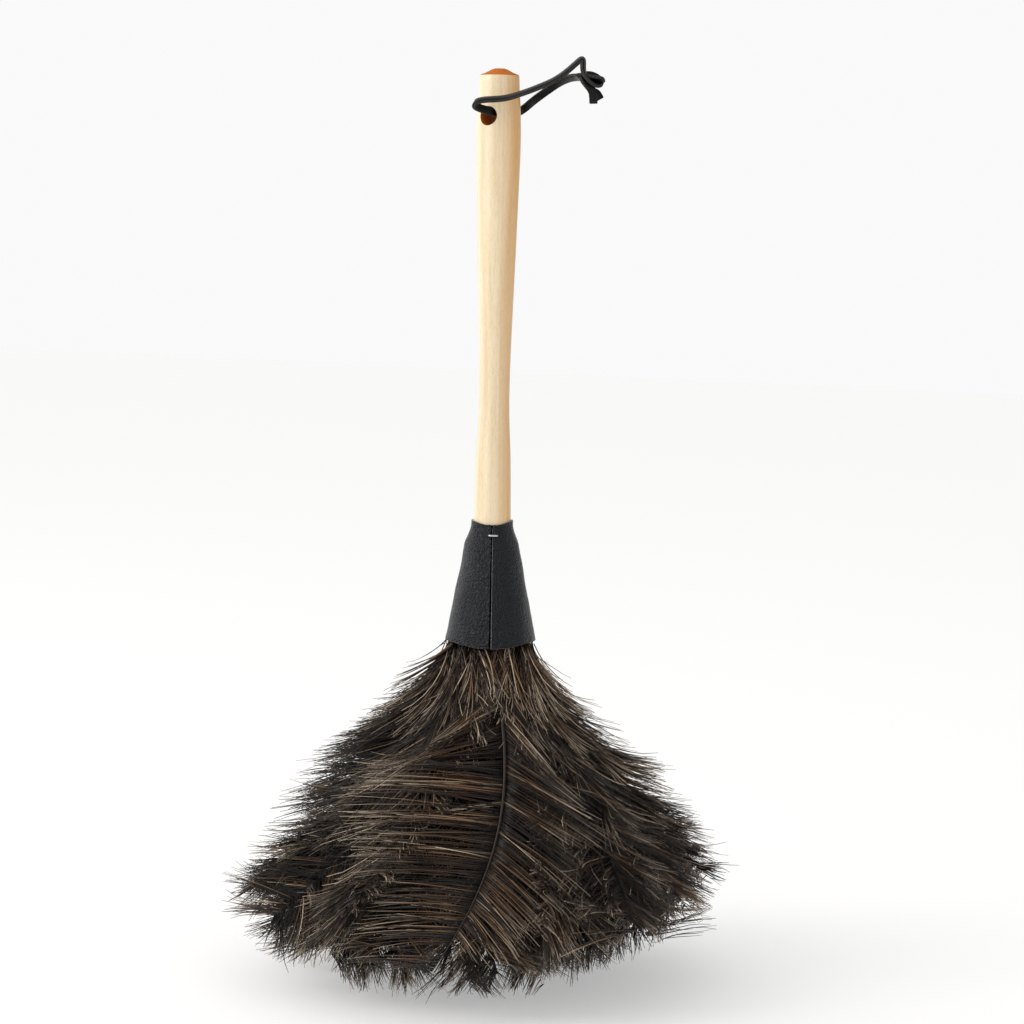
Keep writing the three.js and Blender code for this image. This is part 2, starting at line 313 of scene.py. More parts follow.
# The lace's route from the middle of the hole, in mm: its front strand and its back strand.
FRONT_STRAND = [
    (2.1, 0.0, 2.1), (2.1, -8.0, 2.1), (1.4, -13.4, 2.6), (-0.6, -17.4, 3.5),
    (-2.0, -21.4, 4.9), (-0.4, -23.4, 6.8), (3.8, -21.6, 8.0), (8.6, -18.6, 8.4),
    (14.8, -16.0, 9.2), (22.0, -15.0, 11.2), (28.6, -13.8, 13.4), (34.0, -11.5, 15.8),
    (38.8, -9.3, 18.2), (44.0, -7.0, 21.8), (49.6, -4.6, 27.0), (53.3, -3.0, 30.3)]
BACK_STRAND = [
    (2.1, 0.0, 2.1), (2.1, 8.0, 2.1), (1.7, 13.4, 2.4), (1.4, 17.4, 3.0), (2.6, 20.2, 4.4),
    (6.0, 20.0, 6.6), (11.6, 17.4, 9.4), (18.0, 15.4, 12.6), (24.7, 14.7, 16.4),
    (32.3, 12.0, 19.4), (40.8, 7.9, 20.9), (46.6, 4.9, 20.8)]
KNOT = (57.2, 0.0, 19.2)

# Each strand's turns in the knot and its tail: to the right, towards the front and up, in mm.
FRONT_TURNS = [
    (-4.6, 0.6, 7.2), (-4.3, 1.8, 3.6), (-2.4, 3.2, 0.4), (1.0, 3.0, -2.6), (4.0, 0.4, -2.6),
    (4.3, -2.4, -0.2), (0.6, -3.2, 2.2), (-3.4, -2.0, 2.2), (-4.4, 1.4, -0.4),
    (-2.2, 3.2, -2.8), (0.2, 2.2, -5.6), (1.1, 1.4, -9.0), (1.3, 1.2, -12.8)]
BACK_TURNS = [
    (-6.4, -0.8, 1.4), (-3.2, 0.2, 1.2), (0.6, 0.8, 0.2), (4.0, 1.2, 0.0), (5.4, -0.6, -0.6),
    (3.6, -2.4, -1.8), (0.6, -2.4, -2.8), (1.0, -1.2, -4.8), (3.0, 0.0, -7.2),
    (4.9, 0.2, -10.4)]


def knot_places(turns):
    """Places beside the knot's middle, as places from the middle of the hole."""
    right, front = np.array(TO_RIGHT), np.array(TO_FRONT)
    return [tuple(np.array(KNOT) + a * right + b * front + c * UP) for a, b, c in turns]


def lace_leather():
    """Vegetable-tanned lace, dyed black through and waxed: soft black with a dull shine."""
    material, tree, shader = new_material(
        "lace_leather_waxed", IOR=1.5, Roughness=0.36, Specular_IOR_Level=0.17)
    grain = add(tree, "TexNoise", {"Vector": scaled(tree, 1, 1, 1), "Scale": 900, "Detail": 3})
    colour = ramp(tree, grain.outputs["Fac"], [(0.3, "#030304"), (0.7, "#0b0b0d")])
    tree.links.new(colour, shader.inputs["Base Color"])
    bump(tree, shader, grain.outputs["Fac"], 0.0002)
    return material


def cut_edge():
    """The lace's cut edges: undressed fibres, greyer and duller than its face."""
    material, tree, shader = new_material(
        "lace_cut_edge", IOR=1.5, Roughness=0.85, Specular_IOR_Level=0.3)
    fibre = add(tree, "TexNoise", {"Vector": scaled(tree, 1, 1, 1), "Scale": 1400, "Detail": 2})
    colour = ramp(tree, fibre.outputs["Fac"], [(0.3, "#1c1a19"), (0.7, "#383431")])
    tree.links.new(colour, shader.inputs["Base Color"])
    bump(tree, shader, fibre.outputs["Fac"], 0.0003)
    return material


def lace_line(places):
    """A strand's centreline in metres, evened out so that it has no kinks."""
    line = (through(places, 6) + np.array([0, 0, HOLE_HEIGHT])) * MM
    for _ in range(6):
        line[1:-1] = (line[:-2] + 2 * line[1:-1] + line[2:]) / 4
    return line


def lace_ways(line):
    """The ways across a strand's face and through it. It does not twist on its way, but its
    tail turns a quarter turn below the knot."""
    way = unit(np.gradient(line, axis=0))
    flat = [unit(np.cross(way[0], np.array([1.0, 0, 0])))]
    for here in way[1:]:
        flat.append(unit(flat[-1] - here * np.dot(flat[-1], here)))
    share = np.linspace(0, 1, len(line))[:, None]
    quarter = math.pi / 2 * np.clip((share - TAIL_START) / TAIL_TURN, 0, 1)
    wide = flat * np.cos(quarter) + np.cross(way, flat) * np.sin(quarter)
    return wide, np.cross(way, wide)


def lace_section():
    """The corners of the lace's section in metres: flat, with rounded corners."""
    half_wide, half_thick, soft = LACE_WIDE * MM / 2, LACE_THICK * MM / 2, LACE_CORNER * MM
    section = []
    for x, y in ((1, 1), (-1, 1), (-1, -1), (1, -1)):
        for turn in (0, 45, 90) if x * y > 0 else (90, 45, 0):
            section.append((
                x * (half_wide - soft + soft * math.cos(math.radians(turn))),
                y * (half_thick - soft + soft * math.sin(math.radians(turn)))))
    return np.array(section)


def lace_strand(name, places, materials, nodes):
    """A flat strand of lace swept along its places, a little narrower at its two ends."""
    line = lace_line(places)
    wide, thin = lace_ways(line)
    section = lace_section()
    ends = np.ones(len(line))
    ends[[0, -1]] = 0.9
    across = wide[None, :, None, :] * (section[:, 0] * ends[:, None])[None, :, :, None]
    over = thin[None, :, None, :] * (section[:, 1] * ends[:, None])[None, :, :, None]
    points, walls, caps = tubes(line[None], across, over)
    side = np.tile(np.arange(len(section)), len(line) - 1)
    edge = np.isin(side, CUT_SIDES)
    indices = np.concatenate([edge.astype(int), np.ones(len(caps), int)])
    strand = mesh_piece(name, points, [walls, caps], materials, indices)
    smooth(strand, 50)
    stand_for(strand, "hanging_loop", "lace_leather", *nodes)


def make_lace():
    """One lace, as the two strands that leave the hole's middle and meet in the knot."""
    materials = [lace_leather(), cut_edge()]
    lace_strand("lace_front_strand", FRONT_STRAND + knot_places(FRONT_TURNS), materials,
                ["hanging_lace", "lace_knot"])
    lace_strand("lace_back_strand", BACK_STRAND + knot_places(BACK_TURNS), materials,
                ["hanging_lace", "lace_knot"])


# ---------------------------------------------------------------- handle

# The radii of the spigot and the neck, the hole's width and where the amber crown starts, in mm.
SPIGOT = 7
NECK = 10.2
HOLE = 10.5
CROWN_FOOT = 496.4


def handle_outline():
    """(radius, height) pairs up the handle, in mm, from the spigot's foot to near the crown."""
    sides = through([(NECK, COLLAR_HEAD), (9.6, 287), (8.3, 321), (10.9, 416), (12.1, 465),
                     (10.75, 495.5)], 9)
    crown = [(10.6, 496.0), (10.2, 496.5), (9.3, 496.85), (7.9, 497.35), (5.9, 498.4),
             (4.2, 499.3), (2.8, 499.75), (0.8, 499.96)]
    return [(5.5, COLLAR_FOOT), (SPIGOT, 189.5), (SPIGOT, 242), (NECK, 242.01)] + [
        (float(r), float(z)) for r, z in sides] + crown


def beech():
    """Steamed beech, turned, sanded and clear-lacquered: cream, with painted shade that makes it
    warmer and darker towards its right side, and with fine grain and ray flecks."""
    material, tree, shader = new_material(
        "beech_lacquered", IOR=1.5, Roughness=0.34, Coat_Weight=0.25, Coat_Roughness=0.2)
    # Growth rings run along the handle: 4 mm wide bands that stretch for 150 mm.
    bands = add(tree, "TexNoise", {"Vector": scaled(tree, 210, 210, 7), "Scale": 1.0,
                                   "Detail": 4, "Roughness": 0.6, "Distortion": 0.4})
    base = ramp(tree, bands.outputs["Fac"],
                [(0.25, "#d3bd98"), (0.45, "#ddcaa8"), (0.62, "#e4d4b6"), (0.8, "#dac59f")])
    # Painted shade: the colour turns warmer and darker across the handle towards its right, the
    # side away from the key light.
    place = add(tree, "TexCoord", {})
    across = add(tree, "VectorMath", {0: place.outputs["Object"], 1: TO_RIGHT},
                 operation="DOT_PRODUCT")
    side = add(tree, "MapRange", {"Value": across.outputs["Value"], "From Min": -0.003,
                                  "From Max": 0.011})
    painted_shade_side = ramp(tree, side.outputs["Result"], [(0.2, "#ffffff"), (0.95, "#f6cf9c")])
    base = blended(tree, 1.0, base, painted_shade_side, "MULTIPLY")
    # Pores are hair-thin dashes, 6 mm long, drawn 0.3 mm wide so that they show.
    pores = add(tree, "TexNoise", {"Vector": scaled(tree, 3200, 3200, 170), "Scale": 1.0,
                                   "Detail": 2})
    dash = ramp(tree, pores.outputs["Fac"], [(0.3, "#a97b45"), (0.46, "#ffffff")])
    grained = blended(tree, 0.2, base, dash, "MULTIPLY")
    # Ray flecks: short spindles, 0.8 mm by 2.5 mm, darker than the ground.
    rays = add(tree, "TexVoronoi", {"Vector": scaled(tree, 1100, 1100, 330), "Scale": 1.0,
                                    "Randomness": 1.0})
    fleck = ramp(tree, rays.outputs["Distance"], [(0.1, "#c39a63"), (0.24, "#ffffff")])
    flecked = blended(tree, 0.22, grained, fleck, "MULTIPLY")
    tree.links.new(flecked, shader.inputs["Base Color"])
    bump(tree, shader, pores.outputs["Fac"], 0.00008, 0.5)
    return material


def amber_end():
    """End grain under amber stain and lacquer: it drinks the stain, so it is a deep orange."""
    material, tree, shader = new_material(
        "beech_end_grain_amber", IOR=1.5, Roughness=0.6, Specular_IOR_Level=0.1)
    pores = add(tree, "TexVoronoi", {"Vector": scaled(tree, 1, 1, 1), "Scale": 1900})
    colour = ramp(tree, pores.outputs["Distance"], [(0.1, "#8f480b"), (0.5, "#bb6617")])
    tree.links.new(colour, shader.inputs["Base Color"])
    bump(tree, shader, pores.outputs["Distance"], 0.0001, 0.4)
    return material


def make_handle():
    """The turned handle with its drilled hanging hole. Its crown and hole take amber stain."""
    handle = turn_up("turned_handle", handle_outline(), 96)
    bpy.ops.object.mode_set(mode="EDIT")
    pick(handle, lambda place: place.z > (CROWN_TOP - 0.06) * MM)
    bpy.ops.mesh.merge(type="CENTER")
    bpy.ops.object.mode_set(mode="OBJECT")
    deselect()
    bpy.ops.mesh.primitive_cylinder_add(vertices=72, radius=HOLE * MM / 2, depth=0.06,
                                        location=(0, 0, HOLE_HEIGHT * MM),
                                        rotation=(math.pi / 2, 0, 0))
    cut(handle, bpy.context.object)
    handle.data.materials.clear()
    handle.data.materials.append(beech())
    handle.data.materials.append(amber_end())
    reach = HOLE * MM / 2 * 1.02
    for face in handle.data.polygons:
        beside = math.hypot(face.center.x, face.center.z - HOLE_HEIGHT * MM)
        bored = beside < reach and abs(face.normal.y) < 0.3
        face.material_index = int(bored or face.center.z > CROWN_FOOT * MM - 0.0003)
    smooth(handle, 32)
    stand_for(handle, "duster", "handle_beech", "handle")


# ---------------------------------------------------------------- collar and staple

# The leather's thickness, the wrap's shoulder and the columns round it.
LEATHER = 1.2
COLLAR_SHOULDER = 239
COLLAR_COLUMNS = 108


def collar_radius(height):
    """The collar's outside at a height, in mm: a cone to its shoulder, then drawn in to the neck."""
    if height > COLLAR_SHOULDER:
        share = min(1, max(0, (252 - height) / 13))
        return 11.7 + 3.5 * share * share * (3 - 2 * share)
    return 15.2 + 9.8 * (COLLAR_SHOULDER - height) / 51


def collar_outline():
    """(radius, height) pairs up the collar's outside, in mm."""
    heights = np.concatenate([np.linspace(COLLAR_FOOT, COLLAR_SHOULDER, 18),
                              np.linspace(241, COLLAR_HEAD, 8)])
    return [(collar_radius(height), float(height)) for height in heights]


def collar_leather():
    """Chrome-tanned cowhide, dyed blue-black and pressed with a fine pebble: a soft satin."""
    material, tree, shader = new_material(
        "collar_leather_pebbled", IOR=1.5, Roughness=0.34, Specular_IOR_Level=0.32,
        Specular_Tint=linear("#eff3ff"))
    # Pebbles are 0.9 mm across. Creases lie round the collar, 1.6 mm high and 8 mm long.
    pebble = add(tree, "TexVoronoi", {"Vector": scaled(tree, 1, 1, 1), "Scale": 1100},
                 feature="SMOOTH_F1")
    crease = add(tree, "TexNoise", {"Vector": scaled(tree, 120, 120, 620), "Scale": 1.0,
                                    "Detail": 4, "Distortion": 0.6})
    cloud = add(tree, "TexNoise", {"Vector": scaled(tree, 1, 1, 1), "Scale": 70, "Detail": 3})
    tone = ramp(tree, cloud.outputs["Fac"], [(0.35, "#030304"), (0.65, "#08090b")])
    # Painted shade: the leather is darkened in the hollows of the creases.
    painted_crease_shade = ramp(tree, crease.outputs["Fac"], [(0.3, "#8d8f94"), (0.6, "#ffffff")])
    tree.links.new(blended(tree, 0.6, tone, painted_crease_shade, "MULTIPLY"), shader.inputs["Base Color"])
    height = add(tree, "Math", {0: pebble.outputs["Distance"], 1: crease.outputs["Fac"]},
                 operation="ADD")
    bump(tree, shader, height.outputs[0], 0.0012, 0.9)
    return material


def raw_edge():
    """The collar's cut edges: undyed grey-tan fibre that shows as a pale line at the seam."""
    material, tree, shader = new_material("leather_raw_edge", IOR=1.5, Roughness=0.9)
    fibre = add(tree, "TexNoise", {"Vector": scaled(tree, 1, 1, 1), "Scale": 1500, "Detail": 3})
    colour = ramp(tree, fibre.outputs["Fac"], [(0.3, "#6b6764"), (0.7, "#a8a29a")])
    tree.links.new(colour, shader.inputs["Base Color"])
    bump(tree, shader, fibre.outputs["Fac"], 0.0002)
    return material


def beside_seam(place):
    """How far a place is round from the seam, in mm, to the left (-) or the right (+)."""
    return float(SEAM_SIDE.dot(Vector((place.x, place.y, 0)))) / MM


def at_seam(place, low, high):
    """True for places on the seam's side of the collar, from low to high mm round from it."""
    return SEAM_WAY.dot(Vector((place.x, place.y, 0))) > 0 and low < beside_seam(place) < high


def pull(piece, wanted, way, reach):
    """In edit mode, moves the vertices that are wanted and, ever less, those within reach."""
    pick(piece, wanted)
    bpy.ops.transform.translate(value=way, use_proportional_edit=True,
                                proportional_edit_falloff="SMOOTH", proportional_size=reach)


def cut_notch(collar):
    """A small notch where the seam meets the collar's top."""
    deselect()
    bpy.ops.mesh.primitive_cylinder_add(
        vertices=3, radius=5.2 * MM, depth=0.02,
        location=tuple(14 * MM * SEAM_WAY + Vector((0, 0, (COLLAR_HEAD + 0.2) * MM))),
        rotation=(-math.pi / 2, 0, SEAM_ANGLE + math.pi / 2))
    notch = bpy.context.object
    notch.scale = (0.42, 1, 1)
    settle(notch)
    cut(collar, notch)


def make_collar():
    """A wrapped sleeve: its edges meet at the seam, the right one proud, and dip there."""
    collar = turn_up("leather_sleeve", collar_outline(), COLLAR_COLUMNS,
                     SEAM_ANGLE + math.pi / COLLAR_COLUMNS, "NOTHING")
    bpy.ops.object.mode_set(mode="EDIT")
    pick(collar, lambda place: at_seam(place, -0.2, 0.2), "polygons")
    bpy.ops.mesh.delete(type="FACE")
    pull(collar, lambda place: at_seam(place, 0, 1.2), tuple(0.6 * MM * SEAM_WAY), 0.004)
    pull(collar, lambda place: at_seam(place, -4, 4) and place.z < (COLLAR_FOOT + 0.5) * MM,
         (0, 0, -2 * MM), 0.022)
    pull(collar, lambda place: at_seam(place, -3, 3) and place.z > (COLLAR_HEAD - 0.5) * MM,
         (0, 0, -1.6 * MM), 0.012)
    bpy.ops.object.mode_set(mode="OBJECT")
    uneven = bpy.data.textures.new("leather_unevenness", "CLOUDS")
    uneven.noise_scale = 0.014
    apply_modifier(collar, "DISPLACE", texture=uneven, strength=0.0011, mid_level=0.55,
                   texture_coords="GLOBAL")
    collar.data.materials.clear()
    collar.data.materials.append(collar_leather())
    collar.data.materials.append(raw_edge())
    apply_modifier(collar, "SOLIDIFY", thickness=LEATHER * MM, offset=-1,
                   material_offset_rim=1, use_even_offset=True)
    cut_notch(collar)
    apply_modifier(collar, "BEVEL", width=0.3 * MM, segments=2, limit_method="ANGLE",
                   angle_limit=math.radians(60), material=1)
    # Painted shade: along the seam, the lower of the two edges takes the dark face colour in place
    # of raw fibre, so that only the upper edge shows its raw fibre there.
    for face in collar.data.polygons:
        if face.material_index and at_seam(face.center, -3, 0):
            face.material_index = 0
    smooth(collar, 40)
    stand_for(collar, "duster", "collar_leather", "leather_collar")


LAP_THICK = 0.12


def lap_leather():
    """The inner end's face: the same hide, dull and nearly black in the seam's shade."""
    material, tree, shader = new_material(
        "collar_leather_lap", IOR=1.5, Roughness=0.8, Specular_IOR_Level=0.1)
    nap = add(tree, "TexNoise", {"Vector": scaled(tree, 1, 1, 1), "Scale": 1200, "Detail": 2})
    colour = ramp(tree, nap.outputs["Fac"], [(0.3, "#050505"), (0.7, "#0c0c0d")])
    tree.links.new(colour, shader.inputs["Base Color"])
    bump(tree, shader, nap.outputs["Fac"], 0.0001)
    return material


def make_lap():
    """The wrap's inner end, pared thin, which lies under the seam and closes it off."""
    outline = [(radius - LEATHER - LAP_THICK, height) for radius, height in collar_outline()]
    lap = turn_up("leather_lap", outline[1:-1], 144, SEAM_ANGLE, "NOTHING")
    bpy.ops.object.mode_set(mode="EDIT")
    pick(lap, lambda place: not at_seam(place, -3.2, 2.6), "polygons")
    bpy.ops.mesh.delete(type="FACE")
    bpy.ops.object.mode_set(mode="OBJECT")
    lap.data.materials.clear()
    lap.data.materials.append(lap_leather())
    apply_modifier(lap, "SOLIDIFY", thickness=LAP_THICK * MM, offset=-1, use_even_offset=True)
    smooth(lap, 40)
    stand_for(lap, "duster", "collar_leather", "leather_collar")


def steel():
    """Galvanised steel wire: bright grey zinc, gone slightly dull."""
    material, tree, shader = new_material("steel_wire_galvanised", Metallic=1.0, Roughness=0.32)
    bloom = add(tree, "TexNoise", {"Vector": scaled(tree, 1, 1, 1), "Scale": 1500, "Detail": 2})
    colour = ramp(tree, bloom.outputs["Fac"], [(0.3, "#a9acb0"), (0.7, "#d0d2d4")])
    tree.links.new(colour, shader.inputs["Base Color"])
    bump(tree, shader, bloom.outputs["Fac"], 0.00005, 0.4)
    return material


def make_staple(metal):
    """Flat staple wire over the seam: a crown on the leather and two legs into the wood."""
    crown, wire, leg, over = 5.6, 0.95, 9.0, 0.8
    height, out = 246.8, 15.1
    half = crown / 2 - wire / 2
    # How far each place of the wire is out from the middle, and how far round, in mm.
    corner = [(out - leg, -half), (out - 1.1, -half), (out - 0.25, -half + 0.25),
              (out, -half + 1.0), (out, half - 1.0), (out - 0.25, half - 0.25),
              (out - 1.1, half), (out - leg, half)]
    places = [away * SEAM_WAY + (aside + over) * SEAM_SIDE + Vector((0, 0, height))
              for away, aside in corner]
    line = through([tuple(place) for place in places], 4) * MM
    way = unit(np.gradient(line, axis=0))
    upwards = np.broadcast_to(UP, way.shape)
    thin = np.cross(way, upwards)
    turns = np.radians(np.arange(0, 360, 36))
    up = upwards[None, :, None, :] * (wire * 0.6 * MM * np.cos(turns))[None, None, :, None]
    out_way = thin[None, :, None, :] * (wire * 0.42 * MM * np.sin(turns))[None, None, :, None]
    points, walls, caps = tubes(line[None], up, out_way)
    staple = mesh_piece("seam_staple", points, [walls, caps], [metal])
    smooth(staple, 50)
    stand_for(staple, "duster", "staple_steel", "collar_staple")


def finish_binding_wires(metal):
    """The frame's own binding wires, one to each tier of quills, in the same steel."""
    for ring in range(1, 5):
        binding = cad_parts[f"binding_wire_{ring}"]
        binding.data.materials.clear()
        binding.data.materials.append(metal)


# ---------------------------------------------------------------- plumes

# Each tier's plumes leave the collar's mouth and droop to their tips as in the frame, in mm and
# radians. barbs is how many a plume has. Three numbers give a size at the plume's root, middle
# and tip: long is the barbs' length, open their angle to the shaft in degrees, flare how much
# they sweep outwards, and sag how much they hang.
TIERS = [
    {"name": "core", "count": 10, "ring": 8.5, "ring_top": 241.0, "spread": 0.5, "tip": 38,
     "height": 14, "reach": (3, 54), "droop": (8, 46), "turn": 0.24, "twist": -0.3,
     "lift": (0, 9, 4, 12, 2), "barbs": 360, "long": (26, 40, 26), "open": (14, 34, 30),
     "flare": (0.2, 0.3, 0.1), "sag": (0.1, 0.3, 0.6)},
    {"name": "lower", "count": 12, "ring": 11.2, "ring_top": 228.4, "spread": 1.8, "tip": 74,
     "height": 0, "reach": (4, 50), "droop": (0, 54), "turn": 0.0, "twist": 0.28,
     "lift": (0, 6, 0, 10, 0, 4), "barbs": 740, "long": (34, 46, 30), "open": (14, 46, 48),
     "flare": (0.4, 0.4, 0.2), "sag": (0.0, 0.2, 0.3)},
    {"name": "middle", "count": 12, "ring": 13.9, "ring_top": 215.8, "spread": 3.1, "tip": 107,
     "height": 20, "reach": (5, 46), "droop": (33, 42), "turn": 0.13, "twist": 0.22,
     "lift": (0, 12, 5, 14, 3, 9), "barbs": 1120, "long": (38, 50, 42), "open": (12, 48, 52),
     "flare": (0.5, 0.4, 0.4), "sag": (0.0, 0.1, 0.1)},
    {"name": "outer", "count": 14, "ring": 16.6, "ring_top": 203.2, "spread": 4.6, "tip": 130,
     "height": 40, "reach": (9, 42), "droop": (42, 36), "turn": 0.1, "twist": -0.3,
     "lift": (0, 14, 6, 18, 4, 12, 8), "barbs": 1600, "long": (38, 48, 42),
     "open": (10, 48, 60), "flare": (0.5, 0.4, 0.6), "sag": (0.0, 0.05, 0.0)},
]
# Plumes that differ from the rest of their tier. The front one lies over the others, combed
# flat: its long barbs stand nearly square to a shaft that shows. thick is the least and most
# half width of its barbs, and bold how stout its shaft is. raised, bow and fall carry the shaft
# out from its place, aside and down, and sway lets its tip stray. roll is how the vane turns from
# root to tip, lean how its barbs tilt, and dip how far they lie under it. loose is how unruly
# they are, and tone makes them paler or darker.
SPECIAL = {
    ("outer", 11): {"barbs": 1000, "thick": (0.22, 0.36), "long": (34, 88, 46),
                    "open": (14, 94, 80), "flare": (0.1, 0.0, 0.0), "sag": (0.0, 0.1, 0.3),
                    "right": {"open": (14, 64, 58), "long": (30, 50, 40)}, "lean": 0,
                    "roll": (0, 0), "loose": 0.3, "dip": 0.05, "raised": 10.0, "bow": 9.0,
                    "fall": 13.0, "bold": 1.3, "sway": 0, "tone": 0.05},
    ("outer", 10): {"right": {"long": (34, 14, 14)}, "roll": (-0.2, -0.6)},
    ("outer", 12): {"left": {"long": (34, 12, 14)}, "roll": (0.3, 0.9), "tone": 0.08},
    ("middle", 9): {"long": (34, 36, 34), "flare": (0.1, 0.0, 0.0)},
    ("middle", 10): {"long": (34, 36, 34), "flare": (0.1, 0.0, 0.0)},
    # Painted shade: the darker tone of the three plumes on the left, below, stands in for the shadow
    # that the plumes cast on each other there.
    ("outer", 9): {"tone": -0.12},
    ("outer", 8): {"long": (42, 62, 40), "open": (14, 54, 60), "flare": (0.6, 0.8, 0.6),
                   "tone": -0.18},
    ("outer", 7): {"long": (42, 60, 40), "open": (14, 52, 60), "flare": (0.6, 0.7, 0.5),
                   "tone": -0.18},
    ("outer", 1): {"long": (40, 50, 36), "open": (18, 60, 66), "flare": (0.6, 0.9, 0.8)},
}
# How far out barbs reach at each height and to the right, in mm, and the bowl that their lowest
# ends lie on: flat in its middle, which is a little to the left, and rising outside.
REACH_HEIGHTS = (30, 62, 84, 106, 128, 150, 172, 186)
REACH_RADII = (134, 134, 120, 105, 85, 60, 39, 29)
RIGHT_REACH = 129
BOWL_ASIDE = 25
BOWL_FLAT = 45
BOWL_RISE = 40
# The least height of a barb, and how far it may be along X and along Y.
CLEAR = 1.5
FURTHEST = (143, 138)
# Where the vanes leave the collar and where the quills bend outwards, in mm.
MOUTH = 184
QUILL_FOOT = 196.2
# How far a lifted tip is drawn in, for each mm of lift.
SHORTENING = 0.35
# Barbs to a lock, on average, and the share of locks that are bleached pale.
LOCK_SIZE = 8
PALE_SHARE = 0.03
# The places along a shaft and a barb, and at each of a barb's how far it is drawn into its lock
# and how wide it still is.
SHAFT_STEPS = 44
BARB_RINGS = 7
LOCK_PULL = (0, 0.2, 0.4, 0.55, 0.65, 0.65, 0.5)
BARB_TAPER = (1.0, 1.0, 0.95, 0.86, 0.74, 0.58, 0.36)


def down_material(name, colours, tip):
    """Ostrich down, dyed dark brown: soft barbs with a silky gleam along them and paler, frayed
    ends, and painted shade that darkens each barb near its root, by the shaft. The shade attribute
    tells locks and barbs apart, from near black to sun-bleached, and along runs from a barb's
    root to its end."""
    material, tree, shader = new_material(
        name, IOR=1.55, Roughness=0.38, Specular_IOR_Level=0.3)
    shade = add(tree, "Attribute", {}, attribute_name="shade").outputs["Fac"]
    along = add(tree, "Attribute", {}, attribute_name="along").outputs["Fac"]
    ground = ramp(tree, shade, list(zip((0.0, 0.4, 0.7, 0.88, 1.0), colours)))
    # Painted shade: each barb is darker near its root, where the barbs crowd by the shaft.
    painted_root_shade = ramp(tree, along, [(0.0, "#707070"), (0.3, "#ffffff")])
    ground = blended(tree, 1.0, ground, painted_root_shade, "MULTIPLY")
    paler = add(tree, "MapRange", {"Value": along, "From Min": 0.55, "From Max": 1.0,
                                   "To Min": 0.0, "To Max": 1.0})
    bleached = add(tree, "MapRange", {"Value": shade, "From Min": 0.25, "From Max": 0.8,
                                      "To Min": 0.05, "To Max": 1.0})
    amount = add(tree, "Math", {0: paler.outputs["Result"], 1: bleached.outputs["Result"]},
                 operation="MULTIPLY")
    tree.links.new(blended(tree, amount.outputs[0], ground, linear(tip)),
                   shader.inputs["Base Color"])
    return material


def shaft_material():
    """A dyed plume's shaft: smooth dark horn with a clean highlight along it."""
    material, tree, shader = new_material(
        "plume_shaft_horn", IOR=1.54, Roughness=0.4, Specular_IOR_Level=0.25)
    streak = add(tree, "TexNoise", {"Vector": scaled(tree, 900, 900, 60), "Scale": 1.0})
    colour = ramp(tree, streak.outputs["Fac"], [(0.35, "#120d0a"), (0.7, "#2b1f17")])
    tree.links.new(colour, shader.inputs["Base Color"])
    return material


def shaft_line(tier, copy, rng):
    """A plume's shaft in mm, from its quill to its tip, and the ways across and under its vane.
    No two plumes are alike: each sways a little and turns its vane as it goes."""
    lift = tier["lift"][copy % len(tier["lift"])]
    start = np.array([tier["ring"] + tier["spread"], MOUTH])
    tip = np.array([tier["tip"] - SHORTENING * lift, tier["height"] + lift])
    out, down = tier["reach"]
    outwards, downwards = tier["droop"]
    holds = [start, start + (out, -down), tip + (-outwards, downwards), tip]
    t = np.linspace(0, 1, SHAFT_STEPS)[:, None]
    vane = ((1 - t) ** 3 * holds[0] + 3 * (1 - t) ** 2 * t * holds[1]
            + 3 * (1 - t) * t ** 2 * holds[2] + t ** 3 * holds[3])
    quill = np.array([[tier["ring"], tier["ring_top"]], [tier["ring"], QUILL_FOOT],
                      [tier["ring"] + tier["spread"] * 0.5, (QUILL_FOOT + MOUTH) / 2]])
    profile = np.vstack([quill, vane])
    fallen = np.maximum(0, MOUTH - profile[:, 1]) / (MOUTH - tier["height"])
    angle = (tier["turn"] + 2 * math.pi / tier["count"] * copy
             + tier["twist"] * (fallen ** 2 - 1))
    line = np.stack([profile[:, 0] * np.cos(angle), profile[:, 0] * np.sin(angle),
                     profile[:, 1]], -1)
    way = unit(np.gradient(line, axis=0))
    round_way = np.stack([-np.sin(angle), np.cos(angle), np.zeros_like(angle)], -1)
    across = unit(round_way - way * (round_way * way).sum(-1, keepdims=True))
    under = np.cross(across, way)
    share = np.linspace(0, 1, len(line))[:, None]
    sway = tier.get("sway", 5) * rng.uniform(-1, 1)
    rise = tier.get("raised", 0) * np.sin(math.pi * np.clip(share - 0.12, 0, 1) ** 0.9)
    bow = tier.get("bow", 0) * np.sin(math.pi * share ** 1.5)
    line = line - under * rise + across * (sway * share ** 2 + bow)
    line[:, 2] -= tier.get("fall", 0) * share[:, 0] ** 3
    line[:, 2] = np.maximum(line[:, 2], bowl(line) - 1.0)
    start, end = tier.get("roll", rng.uniform(-1.0, 1.0, 2))
    roll = start + (end - start) * share
    return (line, way, across * np.cos(roll) + under * np.sin(roll),
            under * np.cos(roll) - across * np.sin(roll))


def bowl(places):
    """The height under places that nothing hangs below: a bowl, a little to the left."""
    x = places[..., 0] + BOWL_ASIDE * TO_RIGHT[0]
    y = places[..., 1] + BOWL_ASIDE * TO_RIGHT[1]
    away = np.maximum(0, np.hypot(x, y) - BOWL_FLAT) / 100
    return CLEAR + BOWL_RISE * away ** 1.5


def share_within(start, here, limit):
    """How much of each line from start through here stays under a limit, from 0 to 1."""
    over = (here > limit) & (here > start)
    kept = (limit - start) / np.where(over, here - start, 1)
    return np.where(over, kept, 1).min(1)


